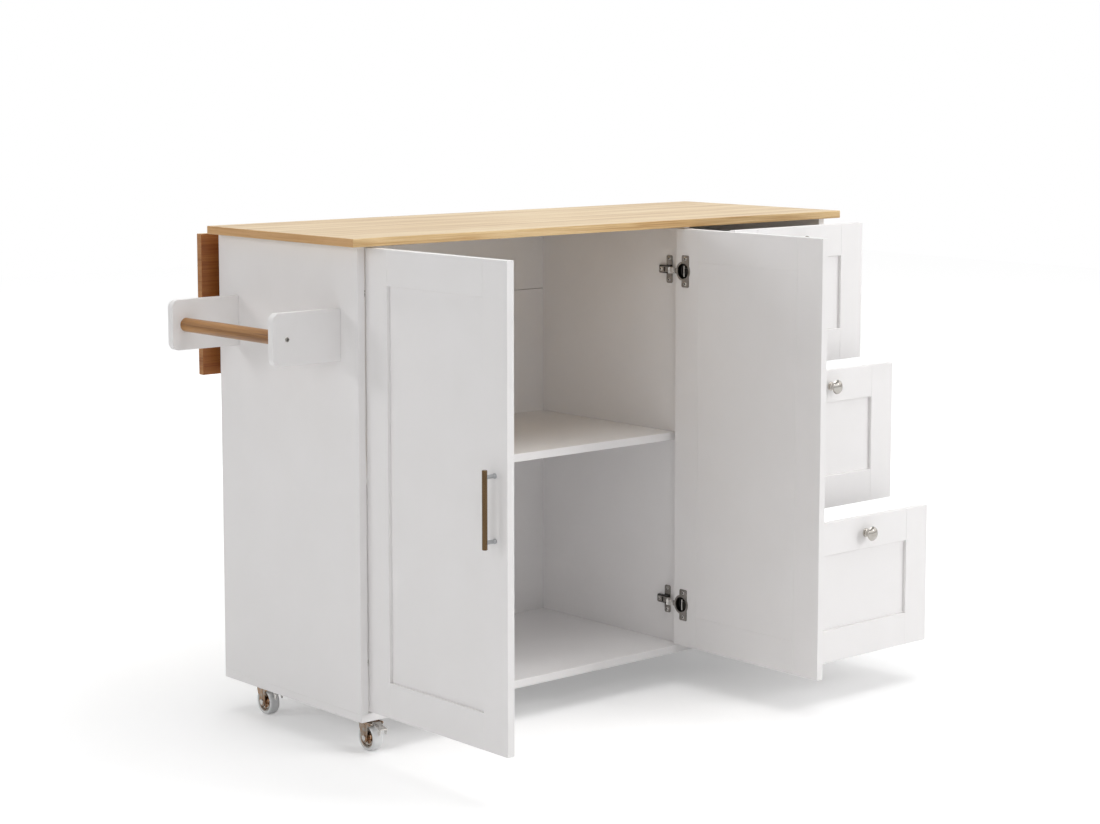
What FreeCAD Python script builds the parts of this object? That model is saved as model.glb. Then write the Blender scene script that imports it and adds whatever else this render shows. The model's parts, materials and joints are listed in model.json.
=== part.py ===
import FreeCAD, Part
import Sketcher
import os
import re

# A rolling kitchen island with a fold-up leaf behind, two doors and three drawers.
# The frame is +Z up with the floor at zero. The long side runs along X, and the
# doors and drawers face -Y. It is drawn as it stands in use: both doors open at
# a right angle, the drawers pulled out one further than the next, the leaf hanging.

document = FreeCAD.newDocument("kitchen_island")

# ---------------------------------------------------------------- driving sizes
# Millimetres and degrees, each written once.
SIZES = {
    # carcass
    "board_thickness": 15,
    "carcass_depth": 430,
    "carcass_height": 840,
    "back_rail_height": 148,
    "back_seam": 0.8,
    "door_width": 380,
    "drawer_front_width": 364,
    "front_gap": 3,
    "edge_round": 0.8,
    # worktop and leaf
    "worktop_thickness": 15,
    "overhang_side": 25,
    "overhang_front": 22,
    "top_edge_round": 1.5,
    "leaf_drop": 264,
    "leaf_gap": 20,
    "leaf_seam": 1,
    # shelf
    "shelf_height": 436,
    "shelf_setback": 20,
    "shelf_side_gap": 0.5,
    "pin_radius": 2.5,
    "pin_sink": 8,
    "pin_reach": 9,
    "pin_inset": 45,
    # framed doors and drawer fronts
    "door_thickness": 15,
    "stile_width": 62,
    "rail_width": 63,
    "panel_recess": 6,
    # bar handles
    "handle_height": 430,
    "handle_length": 132,
    "handle_spacing": 108,
    "handle_radius": 4.5,
    "handle_standoff": 22,
    "post_radius": 3.5,
    # concealed hinges
    "hinge_from_end": 82,
    "cup_radius": 17.5,
    "cup_depth": 11,
    "cup_wall": 1.2,
    "cup_inset": 20.5,
    "link_clear": 1,
    "cup_rim": 1.2,
    "cup_rim_radius": 18.8,
    "flange_length": 62,
    "flange_width": 20,
    "flange_offset": 6,
    "wing_length": 55,
    "wing_width": 16,
    "wing_thickness": 2,
    "wing_setback": 30,
    "arm_width": 15,
    "arm_length": 43,
    "arm_clear": 2.5,
    "arm_depth": 11,
    "nose_thickness": 4,
    "nose_width": 12,
    "knuckle_height": 1.7,
    "knuckle_reach": 2.5,
    "knuckle_length": 8.3,
    "knuckle_width": 10,
    "hinge_play": 0.3,
    "hinge_screw_radius": 3.4,
    "hinge_screw_head": 1.2,
    # drawers
    "pull_top": 120,
    "pull_middle": 205,
    "pull_bottom": 300,
    "drawer_back_gap": 15,
    "drawer_side_height": 170,
    "drawer_side_thickness": 12,
    "drawer_base_thickness": 6,
    "drawer_lift": 20,
    "slide_room": 13,
    "slide_height": 36,
    "slide_short": 5,
    "slide_metal": 1.2,
    "slide_play": 0.6,
    "slide_lift": 22,
    "knob_radius": 14,
    "knob_reach": 25,
    "knob_foot_radius": 8.5,
    "knob_foot_height": 3,
    "knob_neck_radius": 5,
    "knob_head_height": 12,
    # towel rack
    "rack_reach": 142,
    "rack_height": 92,
    "rack_from_top": 157,
    "rack_thickness": 15,
    "rack_corner": 14,
    "rack_front_inset": 50,
    "rack_rear_setback": 63,
    "rod_radius": 12.5,
    "rod_from_wall": 113,
    "rod_screw_radius": 2.5,
    "rod_screw_head_radius": 4.2,
    "rod_screw_head": 1.8,
    "rod_screw_length": 40,
    # folding leaf brackets
    "bracket_inset": 260,
    "bracket_metal": 1.5,
    "bracket_width": 30,
    "bracket_ear": 16,
    "bracket_top": 8,
    "bracket_length": 238,
    "leaf_arm_width": 24,
    "leaf_arm_ear": 12,
    "leaf_arm_length": 228,
    "bracket_pin_radius": 3,
    "bracket_pin_play": 0.06,
    "strut_pin_radius": 2,
    "strut_drop": 90,
    "strut_back": 5,
    "strut_length": 127,
    "strut_width": 12,
    "strut_thickness": 7,
    "slider_side_gap": 1,
    # casters
    "caster_height": 64,
    "caster_turn": -2,
    "caster_inset_x": 45,
    "caster_inset_y": 55,
    "caster_plate": 46,
    "caster_plate_thickness": 2,
    "caster_screw_radius": 3.5,
    "caster_screw_head": 1.4,
    "caster_screw_spacing": 32,
    "race_radius": 16,
    "race_play": 0.3,
    "kingpin_radius": 6,
    "fork_metal": 2,
    "fork_top": 55,
    "fork_half_width": 14,
    "fork_leg_front": 6,
    "fork_leg_rear": 6,
    "fork_leg_back": 4,
    "caster_trail": 22,
    "wheel_radius": 25,
    "wheel_width": 20,
    "wheel_round": 3,
    "hub_radius": 19,
    "hub_dish": 5,
    "boss_radius": 7,
    "boss_width": 23,
    "axle_radius": 4,
    "axle_play": 0.06,
    "axle_head_radius": 6,
    "axle_head": 2.5,
    "fork_boss_radius": 9,
    "pedal_pin_radius": 2,
    "pedal_pin_out": 16,
    "pedal_pin_height": 52,
    "pedal_eye_room": 4,
    "pedal_half_width": 8,
    "pedal_reach": 25,
    "pedal_drop": 5,
    "pedal_thickness": 2.4,
    "pedal_cheek_length": 10,
    "pedal_cheek_depth": 10,
}

# Places and lengths that follow from the sizes. Those of the carcass are counted
# from the carcass's lower left front corner, which the datum ones put in the frame.
PLACES = {
    "divider_left": "board_thickness + 2 * door_width + 3 * front_gap",
    "divider_right": "divider_left + board_thickness",
    "drawer_bay": "drawer_front_width + 2 * front_gap",
    "right_inner": "divider_right + drawer_bay",
    "carcass_width": "right_inner + board_thickness",
    "inner_depth": "carcass_depth - board_thickness",
    "inner_height": "carcass_height - board_thickness",
    "door_bottom": "board_thickness + front_gap",
    "door_height": "inner_height - 2 * front_gap",
    "door_free_end": "front_gap - door_width",
    "drawer_front_height": "(inner_height - 4 * front_gap) / 3",
    "panel_thickness": "door_thickness - panel_recess",
    "leaf_face": "carcass_depth + leaf_gap",
    "leaf_top": "carcass_height - leaf_seam",
    "pivot_out": "carcass_depth + leaf_gap / 2",
    "pivot_height": "carcass_height - leaf_gap / 2",
    "worktop_length": "carcass_width + 2 * overhang_side",
    "datum_x": "(rack_reach - carcass_width - overhang_side) / 2",
    "datum_y": "(-door_free_end - leaf_face - worktop_thickness) / 2",
    "datum_z": "caster_height",
    "box_width": "drawer_bay - 2 * slide_room",
    "drawer_length": "inner_depth - door_thickness - drawer_back_gap",
    "slide_length": "drawer_length - slide_short",
    "rack_middle": "carcass_height - rack_from_top",
    "rack_rear_inset": "carcass_depth - rack_rear_setback",
    "box_left": "divider_right + slide_room",
    "handle_out": "door_free_end + stile_width / 2",
    "door_inner_face": "front_gap + door_thickness",
    "arm_setback": "door_thickness + arm_clear",
    "nose_standoff": "door_inner_face + knuckle_height + hinge_play",
    "nose_setback": "front_gap + knuckle_reach + hinge_play",
    "pedal_pin_y": "-caster_trail - pedal_pin_out",
    "slider_length": "leaf_arm_width - 2 * bracket_metal - 2 * slider_side_gap",
    "fork_bottom": "fork_top - fork_metal",
}

UP = FreeCAD.Vector(0, 0, 1)
ALONG_X = FreeCAD.Vector(1, 0, 0)
ALONG_Y = FreeCAD.Vector(0, 1, 0)
TURN_FROM_Z = {
    "x": FreeCAD.Rotation(ALONG_Y, 90),
    "y": FreeCAD.Rotation(ALONG_X, -90),
    "z": FreeCAD.Rotation(),
}


def formula(text):
    """Point each bare name in a formula at the cell or the place that holds it."""

    def owner(match):
        name = match.group(0)
        if name in SIZES:
            return "Sizes." + name
        if name in PLACES:
            return "Places." + name
        return name

    return re.sub(r"[a-z][a-z_]*", owner, text)


def bind(thing, **formulas):
    """Tie properties of an object to formulas."""
    for name, text in formulas.items():
        thing.setExpression(name, formula(text))


def place(thing, x, y, z):
    """Tie an object's position to three formulas."""
    for axis, text in zip("xyz", (x, y, z)):
        thing.setExpression("Placement.Base." + axis, formula(text))


# ---------------------------------------------------------------- sheet and places
sheet = document.addObject("Spreadsheet::Sheet", "Sizes")
for row, (name, value) in enumerate(SIZES.items(), start=1):
    sheet.set("A%d" % row, name)
    sheet.set("B%d" % row, str(value))
    sheet.setAlias("B%d" % row, name)
document.recompute()

places = document.addObject("App::VarSet", "Places")
for name in PLACES:
    places.addProperty("App::PropertyFloat", name, "Places")
for name, text in PLACES.items():
    places.setExpression(name, formula(text))
document.recompute()

sub_parts = []


# ---------------------------------------------------------------- building helpers
def new_body(name, x="datum_x", y="datum_y", z="datum_z"):
    """A body whose own origin is the carcass corner unless another is given."""
    body = document.addObject("PartDesign::Body", name)
    body.Label = name
    place(body, x, y, z)
    return body


def add_block(body, name, corner, size, cut=False):
    """Add or cut a box with its low corner and its three lengths given."""
    kind = "PartDesign::SubtractiveBox" if cut else "PartDesign::AdditiveBox"
    block = body.newObject(kind, name)
    bind(block, Length=size[0], Width=size[1], Height=size[2])
    place(block, *corner)
    body.Tip = block
    return block


def add_rod(body, name, start, axis, radius, length, cut=False):
    """Add or cut a cylinder that starts at a point and runs along a plus axis."""
    kind = "PartDesign::SubtractiveCylinder" if cut else "PartDesign::AdditiveCylinder"
    rod = body.newObject(kind, name)
    rod.Placement = FreeCAD.Placement(FreeCAD.Vector(), TURN_FROM_Z[axis])
    bind(rod, Radius=radius, Height=length)
    place(rod, *start)
    body.Tip = rod
    return rod


def add_outline(body, name, plane, points, length, start):
    """Pad a closed outline, whose corners are pairs of formulas, off an origin plane."""
    flat = body.newObject("Sketcher::SketchObject", name + "_sketch")
    for feature in body.Origin.OriginFeatures:
        if feature.Role == plane:
            flat.AttachmentSupport = [(feature, "")]
    flat.MapMode = "FlatFace"
    flat.setExpression("AttachmentOffset.Base.z", formula(start))
    count = len(points)
    for index in range(count):
        here = FreeCAD.Vector(index, index * index, 0)
        there = FreeCAD.Vector((index + 1) % count, ((index + 1) % count) ** 2, 0)
        flat.addGeometry(Part.LineSegment(here, there), False)
    for index in range(count):
        flat.addConstraint(
            Sketcher.Constraint("Coincident", index, 2, (index + 1) % count, 1)
        )
    for index, (across, along) in enumerate(points):
        for kind, text in (("DistanceX", across), ("DistanceY", along)):
            number = flat.addConstraint(Sketcher.Constraint(kind, -1, 1, index, 1, 1.0))
            flat.setExpression("Constraints[%d]" % number, formula(text))
    pad = body.newObject("PartDesign::Pad", name)
    pad.Profile = flat
    bind(pad, Length=length)
    body.Tip = pad
    return pad


def round_all(body, radius):
    """Round every edge of a body's last feature."""
    document.recompute()
    base = body.Tip
    edges = body.newObject("PartDesign::Fillet", body.Name + "_rounding")
    edges.Base = (base, ["Edge1"])
    edges.UseAllEdges = True
    bind(edges, Radius=radius)
    body.Tip = edges


def round_some(body, name, radius, chosen):
    """Round the edges of a body's last feature that a test on each edge picks."""
    document.recompute()
    base = body.Tip
    names = []
    for number, edge in enumerate(base.Shape.Edges, start=1):
        if chosen(edge):
            names.append("Edge%d" % number)
    edges = body.newObject("PartDesign::Fillet", name)
    edges.Base = (base, names)
    bind(edges, Radius=radius)
    body.Tip = edges


def keep(thing):
    """Count an object as one of the island's sub-parts."""
    sub_parts.append(thing)
    return thing


def board(name, corner, size, radius="edge_round"):
    """A flat board with eased edges."""
    body = new_body(name)
    add_block(body, name + "_block", corner, size)
    round_all(body, radius)
    return body


def group(name, members):
    """One sub-part made of several separate solids."""
    bundle = document.addObject("Part::Compound", name)
    bundle.Label = name
    bundle.Links = members
    return keep(bundle)


# ---------------------------------------------------------------- carcass
PIN_LEVEL = "shelf_height - board_thickness - pin_radius"
PIN_ROWS = {
    "front": "shelf_setback + pin_inset",
    "rear": "inner_depth - pin_inset",
}

keep(board(
    "bottom_panel",
    ("0", "0", "0"),
    ("carcass_width", "carcass_depth", "board_thickness"),
))


def side_panel(name, inner_face, corner_x):
    """A side standing on the bottom panel, drilled for the shelf pins."""
    body = board(
        name,
        (corner_x, "0", "board_thickness"),
        ("board_thickness", "carcass_depth", "inner_height"),
    )
    if inner_face is not None:
        drill_pin_holes(body, inner_face)
    return keep(body)


def drill_pin_holes(body, start_x):
    """Two blind holes that take the shelf pins, one near each end of the shelf."""
    for end, across in PIN_ROWS.items():
        add_rod(
            body,
            body.Name + "_pin_hole_" + end,
            (start_x, across, PIN_LEVEL),
            "x",
            "pin_radius",
            "pin_sink",
            cut=True,
        )


side_panel("side_panel_left", "board_thickness - pin_sink", "0")
side_panel("side_panel_right", None, "right_inner")

divider = board(
    "divider_panel",
    ("divider_left", "0", "board_thickness"),
    ("board_thickness", "inner_depth", "inner_height"),
)
drill_pin_holes(divider, "divider_left")
keep(divider)

keep(board(
    "back_panel",
    ("board_thickness", "inner_depth", "board_thickness"),
    (
        "carcass_width - 2 * board_thickness",
        "board_thickness",
        "inner_height - back_rail_height - back_seam",
    ),
))
keep(board(
    "back_rail",
    ("board_thickness", "inner_depth", "carcass_height - back_rail_height"),
    ("carcass_width - 2 * board_thickness", "board_thickness", "back_rail_height"),
))

keep(board(
    "worktop",
    ("-overhang_side", "-overhang_front", "carcass_height"),
    ("worktop_length", "carcass_depth + overhang_front", "worktop_thickness"),
    "top_edge_round",
))

keep(board(
    "shelf",
    (
        "board_thickness + shelf_side_gap",
        "shelf_setback",
        "shelf_height - board_thickness",
    ),
    (
        "divider_left - board_thickness - 2 * shelf_side_gap",
        "inner_depth - shelf_setback",
        "board_thickness",
    ),
))

shelf_pins = []
for side, start_x in (
    ("left", "board_thickness - pin_sink"),
    ("right", "divider_left - pin_reach"),
):
    for end, across in PIN_ROWS.items():
        pin = new_body("shelf_pin_%s_%s" % (side, end))
        add_rod(
            pin,
            pin.Name + "_rod",
            (start_x, across, PIN_LEVEL),
            "x",
            "pin_radius",
            "pin_sink + pin_reach",
        )
        shelf_pins.append(pin)
group("shelf_pins", shelf_pins)


# ---------------------------------------------------------------- towel rack
def along_outer_end(edge):
    """True for the two edges across the outer end of a towel bracket."""
    extent = edge.BoundBox
    across = extent.YLength > extent.XLength + extent.ZLength
    return across and edge.CenterOfMass.x < -extent.YLength


for name, inset in (
    ("towel_bracket_front", "rack_front_inset"),
    ("towel_bracket_rear", "rack_rear_inset"),
):
    bracket = new_body(name)
    add_block(
        bracket,
        name + "_block",
        ("-rack_reach", inset, "rack_middle - rack_height / 2"),
        ("rack_reach", "rack_thickness", "rack_height"),
    )
    round_some(bracket, name + "_corners", "rack_corner", along_outer_end)
    round_all(bracket, "edge_round")
    add_rod(
        bracket,
        name + "_screw_hole",
        ("-rod_from_wall", inset, "rack_middle"),
        "y",
        "rod_screw_radius",
        "rack_thickness",
        cut=True,
    )
    keep(bracket)

ROD_START = "rack_front_inset + rack_thickness"
ROD_END = "rack_rear_inset"
rod = new_body("towel_rod")
add_rod(
    rod,
    "towel_rod_turned",
    ("-rod_from_wall", ROD_START, "rack_middle"),
    "y",
    "rod_radius",
    ROD_END + " - (" + ROD_START + ")",
)
for end, start_y in (
    ("front", ROD_START),
    ("rear", ROD_END + " - (rod_screw_length - rack_thickness)"),
):
    add_rod(
        rod,
        "towel_rod_hole_" + end,
        ("-rod_from_wall", start_y, "rack_middle"),
        "y",
        "rod_screw_radius",
        "rod_screw_length - rack_thickness",
        cut=True,
    )
keep(rod)

rod_screws = []
for end, shank_y, head_y in (
    ("front", "rack_front_inset", "rack_front_inset - rod_screw_head"),
    (
        "rear",
        ROD_END + " - (rod_screw_length - rack_thickness)",
        "rack_rear_inset + rack_thickness",
    ),
):
    screw = new_body("rod_screw_" + end)
    add_rod(
        screw,
        screw.Name + "_shank",
        ("-rod_from_wall", shank_y, "rack_middle"),
        "y",
        "rod_screw_radius",
        "rod_screw_length",
    )
    add_rod(
        screw,
        screw.Name + "_head",
        ("-rod_from_wall", head_y, "rack_middle"),
        "y",
        "rod_screw_head_radius",
        "rod_screw_head",
    )
    rod_screws.append(screw)
group("towel_rod_screws", rod_screws)


# ---------------------------------------------------------------- framed fronts
def framed_front(name, low_x, low_y, low_z, width_axis, width, height, recess_side):
    """Two stiles, two rails and a recessed panel, each a piece of its own.

    width_axis is the axis that the front's width runs along: "x" for a drawer
    front and "y" for a door standing open. recess_side says on which side of the
    thickness, "low" or "high", the panel lies deeper than the frame.
    """
    opening = "(%s) - 2 * stile_width" % width
    panel_height = "(%s) - 2 * rail_width" % height
    panel_start = "panel_recess" if recess_side == "low" else "0"

    def piece(label, along, up, long, tall, start="0", thick="door_thickness"):
        if width_axis == "y":
            corner = ("%s + %s" % (low_x, start), "%s + %s" % (low_y, along), up)
            size = (thick, long, tall)
        else:
            corner = ("%s + %s" % (low_x, along), "%s + %s" % (low_y, start), up)
            size = (long, thick, tall)
        return board(label, corner, size)

    far = "(%s) - stile_width" % width
    top = "%s + (%s) - rail_width" % (low_z, height)
    members = [
        piece(name + "_stile_low", "0", low_z, "stile_width", height),
        piece(name + "_stile_high", far, low_z, "stile_width", height),
        piece(name + "_rail_bottom", "stile_width", low_z, opening, "rail_width"),
        piece(name + "_rail_top", "stile_width", top, opening, "rail_width"),
    ]
    panel = piece(
        name + "_panel",
        "stile_width",
        low_z + " + rail_width",
        opening,
        panel_height,
        panel_start,
        "panel_thickness",
    )
    keep(panel)
    return members


# ---------------------------------------------------------------- doors and hinges
HINGE_LEVELS = {
    "upper": "door_bottom + door_height - hinge_from_end",
    "lower": "door_bottom + hinge_from_end",
}
CUP_CENTRE_Y = "front_gap - cup_inset"


class DoorSide:
    """Where a door's pieces lie across the island, counted off the wall it hangs on."""

    def __init__(self, name, wall, sign):
        self.name = name
        self.wall = wall
        self.sign = sign

    def low(self, near, reach):
        """Low X of a piece that starts near the wall and reaches further from it."""
        if self.sign > 0:
            return "%s + (%s)" % (self.wall, near)
        return "%s - (%s) - (%s)" % (self.wall, near, reach)


DOOR_SIDES = [DoorSide("left", "board_thickness", 1), DoorSide("right", "divider_left", -1)]


def hinge_cup(side, level_name, level):
    """The cup let into the door, its rim, flange, inner link and outer knuckle."""
    cup = new_body("hinge_cup_%s_%s" % (side.name, level_name))
    face = "door_inner_face"
    sunk = "%s - cup_depth" % face

    def disc(label, near, reach, radius, cut=False):
        add_rod(
            cup,
            cup.Name + label,
            (side.low(near, reach), CUP_CENTRE_Y, level),
            "x",
            radius,
            reach,
            cut,
        )

    def bar(label, near, low_y, half, reach, wide):
        add_block(
            cup,
            cup.Name + label,
            (side.low(near, reach), low_y, "%s - %s" % (level, half)),
            (reach, wide, "2 * (%s)" % half),
        )

    disc("_shell", sunk, "cup_depth", "cup_radius")
    disc("_rim", face, "cup_rim", "cup_rim_radius")
    bar(
        "_flange",
        face,
        CUP_CENTRE_Y + " - flange_offset - flange_width / 2",
        "flange_length / 2",
        "cup_rim",
        "flange_width",
    )
    disc(
        "_hollow",
        sunk + " + cup_wall",
        "cup_depth + cup_rim - cup_wall",
        "cup_radius - cup_wall",
        cut=True,
    )
    bar(
        "_link",
        sunk,
        CUP_CENTRE_Y + " - cup_radius + 2 * cup_wall",
        "nose_width / 2 - cup_wall",
        "cup_depth",
        "cup_radius - 2 * cup_wall - link_clear",
    )
    bar(
        "_knuckle",
        face,
        "front_gap + knuckle_reach - knuckle_length",
        "knuckle_width / 2",
        "knuckle_height",
        "knuckle_length",
    )
    for end, shift in (("low", "-"), ("high", "+")):
        place_z = "%s %s (flange_length / 2 - 2 * hinge_screw_radius)" % (level, shift)
        add_rod(
            cup,
            cup.Name + "_screw_" + end,
            (
                side.low(face + " + cup_rim", "hinge_screw_head"),
                CUP_CENTRE_Y + " - flange_offset",
                place_z,
            ),
            "x",
            "hinge_screw_radius",
            "hinge_screw_head",
        )
    return cup


def hinge_arm(side, level_name, level):
    """The winged plate on the cabinet wall and the arm that reaches over to the cup."""
    arm = new_body("hinge_arm_%s_%s" % (side.name, level_name))

    def bar(label, near, low_y, reach, wide, tall):
        add_block(
            arm,
            arm.Name + label,
            (side.low(near, reach), low_y, "%s - %s / 2" % (level, tall)),
            (reach, wide, tall),
        )

    bar("_wings", "0", "wing_setback", "wing_thickness", "wing_width", "wing_length")
    bar("_arm", "wing_thickness", "wing_setback", "arm_depth - wing_thickness",
        "arm_length - wing_setback + arm_setback", "arm_width")
    bar("_crank", "arm_depth - nose_thickness", "arm_setback",
        "nose_standoff + 2 * nose_thickness - arm_depth",
        "wing_setback - arm_setback", "nose_width")
    bar("_nose", "nose_standoff", "nose_setback", "nose_thickness",
        "arm_setback - nose_setback + nose_thickness", "nose_width")
    for end, shift in (("low", "-"), ("high", "+")):
        place_z = "%s %s (wing_length / 2 - 2 * hinge_screw_radius)" % (level, shift)
        add_rod(
            arm,
            arm.Name + "_screw_" + end,
            (
                side.low("wing_thickness", "hinge_screw_head"),
                "wing_setback + wing_width / 2",
                place_z,
            ),
            "x",
            "hinge_screw_radius",
            "hinge_screw_head",
        )
    return arm


def bar_handle(side):
    """A slim upright bar on two posts, centred on the door's free stile."""
    outer = "front_gap - handle_standoff"
    bar = new_body("door_%s_handle_bar" % side.name)
    add_rod(
        bar,
        bar.Name + "_rod",
        (side.low(outer, "0"), "handle_out", "handle_height - handle_length / 2"),
        "z",
        "handle_radius",
        "handle_length",
    )
    round_all(bar, "edge_round")
    keep(bar)
    posts = []
    for end, shift in (("low", "-"), ("high", "+")):
        post = new_body("door_%s_post_%s" % (side.name, end))
        add_rod(
            post,
            post.Name + "_rod",
            (
                side.low(outer, "handle_standoff"),
                "handle_out",
                "handle_height %s handle_spacing / 2" % shift,
            ),
            "x",
            "post_radius",
            "handle_standoff",
        )
        add_rod(
            post,
            post.Name + "_seat",
            (side.low(outer, "0"), "handle_out", "handle_height - handle_length / 2"),
            "z",
            "handle_radius",
            "handle_length",
            cut=True,
        )
        posts.append(post)
    group("door_%s_handle_posts" % side.name, posts)


hinge_arms = []
for side in DOOR_SIDES:
    frame = framed_front(
        "door_" + side.name,
        side.low("front_gap", "door_thickness"),
        "door_free_end",
        "door_bottom",
        "y",
        "door_width",
        "door_height",
        "low" if side.sign > 0 else "high",
    )
    hinge_stile = frame[1]
    for level_name, level in HINGE_LEVELS.items():
        add_rod(
            hinge_stile,
            "cup_pocket_%s_%s" % (side.name, level_name),
            (
                side.low("door_inner_face - cup_depth", "cup_depth"),
                CUP_CENTRE_Y,
                level,
            ),
            "x",
            "cup_radius",
            "cup_depth",
            cut=True,
        )
    group("door_%s_frame" % side.name, frame)
    cups = []
    for level_name, level in HINGE_LEVELS.items():
        cups.append(hinge_cup(side, level_name, level))
        hinge_arms.append(hinge_arm(side, level_name, level))
    group("door_%s_hinge_cups" % side.name, cups)
    bar_handle(side)
group("hinge_arms", hinge_arms)


# ---------------------------------------------------------------- drawers
def knob(name, front_y, level):
    """A turned knob: a foot, a waisted neck and a domed head."""
    body = new_body(name)
    middle = "divider_right + drawer_bay / 2"
    add_rod(
        body,
        name + "_foot",
        (middle, "%s - knob_foot_height" % front_y, level),
        "y",
        "knob_foot_radius",
        "knob_foot_height",
    )
    add_rod(
        body,
        name + "_neck",
        (middle, "%s - knob_reach + knob_head_height / 2" % front_y, level),
        "y",
        "knob_neck_radius",
        "knob_reach - knob_head_height / 2",
    )
    head = body.newObject("PartDesign::AdditiveEllipsoid", name + "_head")
    head.Placement = FreeCAD.Placement(FreeCAD.Vector(), TURN_FROM_Z["y"])
    bind(
        head,
        Radius1="knob_head_height / 2",
        Radius2="knob_radius",
        Radius3="knob_radius",
    )
    place(head, middle, "%s - knob_reach + knob_head_height / 2" % front_y, level)
    body.Tip = head
    return keep(body)


def drawer_box(name, front_y, floor):
    """Two sides, a back and a base behind the front, open at the top."""
    start = "%s + door_thickness" % front_y
    sides = []
    for end, low_x in (
        ("left", "box_left"),
        ("right", "box_left + box_width - drawer_side_thickness"),
    ):
        sides.append(board(
            name + "_side_" + end,
            (low_x, start, floor),
            ("drawer_side_thickness", "drawer_length", "drawer_side_height"),
        ))
    inner = "box_width - 2 * drawer_side_thickness"
    sides.append(board(
        name + "_back",
        (
            "box_left + drawer_side_thickness",
            "%s + drawer_length - drawer_side_thickness" % start,
            floor,
        ),
        (inner, "drawer_side_thickness", "drawer_side_height"),
    ))
    sides.append(board(
        name + "_base",
        ("box_left + drawer_side_thickness", start, floor),
        (inner, "drawer_length - drawer_side_thickness", "drawer_base_thickness"),
    ))
    return group(name + "_box", sides)


def rolled_rail(name, face_x, sign, start_y, low_z, tall):
    """A steel slide member: a web on a wall or box side and two lips standing off it."""
    rail = new_body(name)
    reach = "slide_room - slide_metal - slide_play"
    web_x = face_x if sign > 0 else face_x + " - slide_metal"
    lip_x = face_x if sign > 0 else "%s - (%s)" % (face_x, reach)
    add_block(
        rail,
        name + "_web",
        (web_x, start_y, low_z),
        ("slide_metal", "slide_length", tall),
    )
    for end, lip_z in (("low", low_z), ("high", "%s + %s - slide_metal" % (low_z, tall))):
        add_block(
            rail,
            "%s_lip_%s" % (name, end),
            (lip_x, start_y, lip_z),
            (reach, "slide_length", "slide_metal"),
        )
    return rail


cabinet_slides = []
DRAWERS = [("1", "pull_top", 2), ("2", "pull_middle", 1), ("3", "pull_bottom", 0)]
for number, pull, steps in DRAWERS:
    name = "drawer_" + number
    front_y = "-" + pull
    bottom = "door_bottom + %d * (drawer_front_height + front_gap)" % steps
    frame = framed_front(
        name + "_front",
        "divider_right + front_gap",
        front_y,
        bottom,
        "x",
        "drawer_front_width",
        "drawer_front_height",
        "low",
    )
    group(name + "_front_frame", frame)
    knob(name + "_knob", front_y, bottom + " + drawer_front_height - rail_width / 2")
    floor = bottom + " + drawer_lift"
    drawer_box(name, front_y, floor)
    rail_z = floor + " + slide_lift"
    moving = []
    for end, box_x, sign, wall_x in (
        ("left", "box_left", -1, "divider_right"),
        ("right", "box_left + box_width", 1, "right_inner"),
    ):
        moving.append(rolled_rail(
            "%s_slide_%s" % (name, end),
            box_x,
            sign,
            front_y + " + door_thickness",
            rail_z + " + slide_metal + slide_play / 2",
            "(slide_height - 2 * slide_metal - slide_play)",
        ))
        cabinet_slides.append(rolled_rail(
            "%s_fixed_slide_%s" % (name, end),
            wall_x,
            -sign,
            "door_thickness",
            rail_z,
            "slide_height",
        ))
    group(name + "_slides", moving)
group("drawer_cabinet_slides", cabinet_slides)


# ---------------------------------------------------------------- leaf and brackets
leaf = new_body("drop_leaf")
add_block(
    leaf,
    "drop_leaf_block",
    ("-overhang_side", "leaf_face", "leaf_top - leaf_drop"),
    ("worktop_length", "worktop_thickness", "leaf_drop"),
)
round_all(leaf, "top_edge_round")
keep(leaf)

BRACKETS = [
    ("left", "bracket_inset - overhang_side"),
    ("right", "worktop_length - overhang_side - bracket_inset"),
]


def channel(name, middle_x, web_y, ear_y, ear_depth, width, low_z, top_z):
    """A steel strip with both long edges bent over as ears."""
    body = new_body(name)
    long = "(%s) - (%s)" % (top_z, low_z)
    low_x = "%s - %s / 2" % (middle_x, width)
    add_block(body, name + "_web", (low_x, web_y, low_z), (width, "bracket_metal", long))
    for end, ear_x in (
        ("low", low_x),
        ("high", "%s + %s / 2 - bracket_metal" % (middle_x, width)),
    ):
        add_block(
            body,
            name + "_ear_" + end,
            (ear_x, ear_y, low_z),
            ("bracket_metal", ear_depth, long),
        )
    return body


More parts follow.
